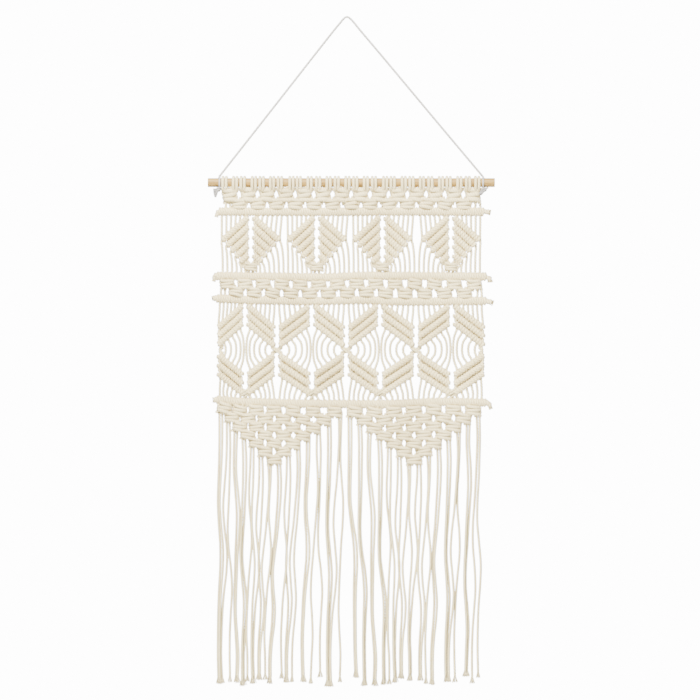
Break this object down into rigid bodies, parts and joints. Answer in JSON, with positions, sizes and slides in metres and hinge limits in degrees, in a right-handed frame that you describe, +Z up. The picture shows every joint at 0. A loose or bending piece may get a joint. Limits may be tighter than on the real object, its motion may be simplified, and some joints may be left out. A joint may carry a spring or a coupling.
{
  "type": "macrame wall hanging on a dowel",
  "caption": "Flat knotted cotton cord hanging on a wooden dowel, with bands of square knots, rows of leaf shapes between ridged bars, and a long fringe below knotted points.",
  "frame": {"origin": "the point where the hanging cord lies over its nail, on the underside of the cord's bend", "axes": "+X to the right seen from the front, +Z up along the hanging cloth, -Y the front face"},
  "size_m": [0.4, 0.0212, 0.935],
  "materials": {
    "birch": "smooth unvarnished pale birch",
    "cotton_cord": "matt twisted natural cotton",
    "hanging_cotton": "matt thin twisted natural cotton"
  },
  "bodies": {
    "root": {"dowel": "birch", "hanging_cord": "hanging_cotton", "hanging_knot_left": "hanging_cotton", "hanging_knot_right": "hanging_cotton", "knotted_panel": "cotton_cord", "fringe_triangle_left": "cotton_cord", "fringe_triangle_right": "cotton_cord"}
  },
  "joints": []
}
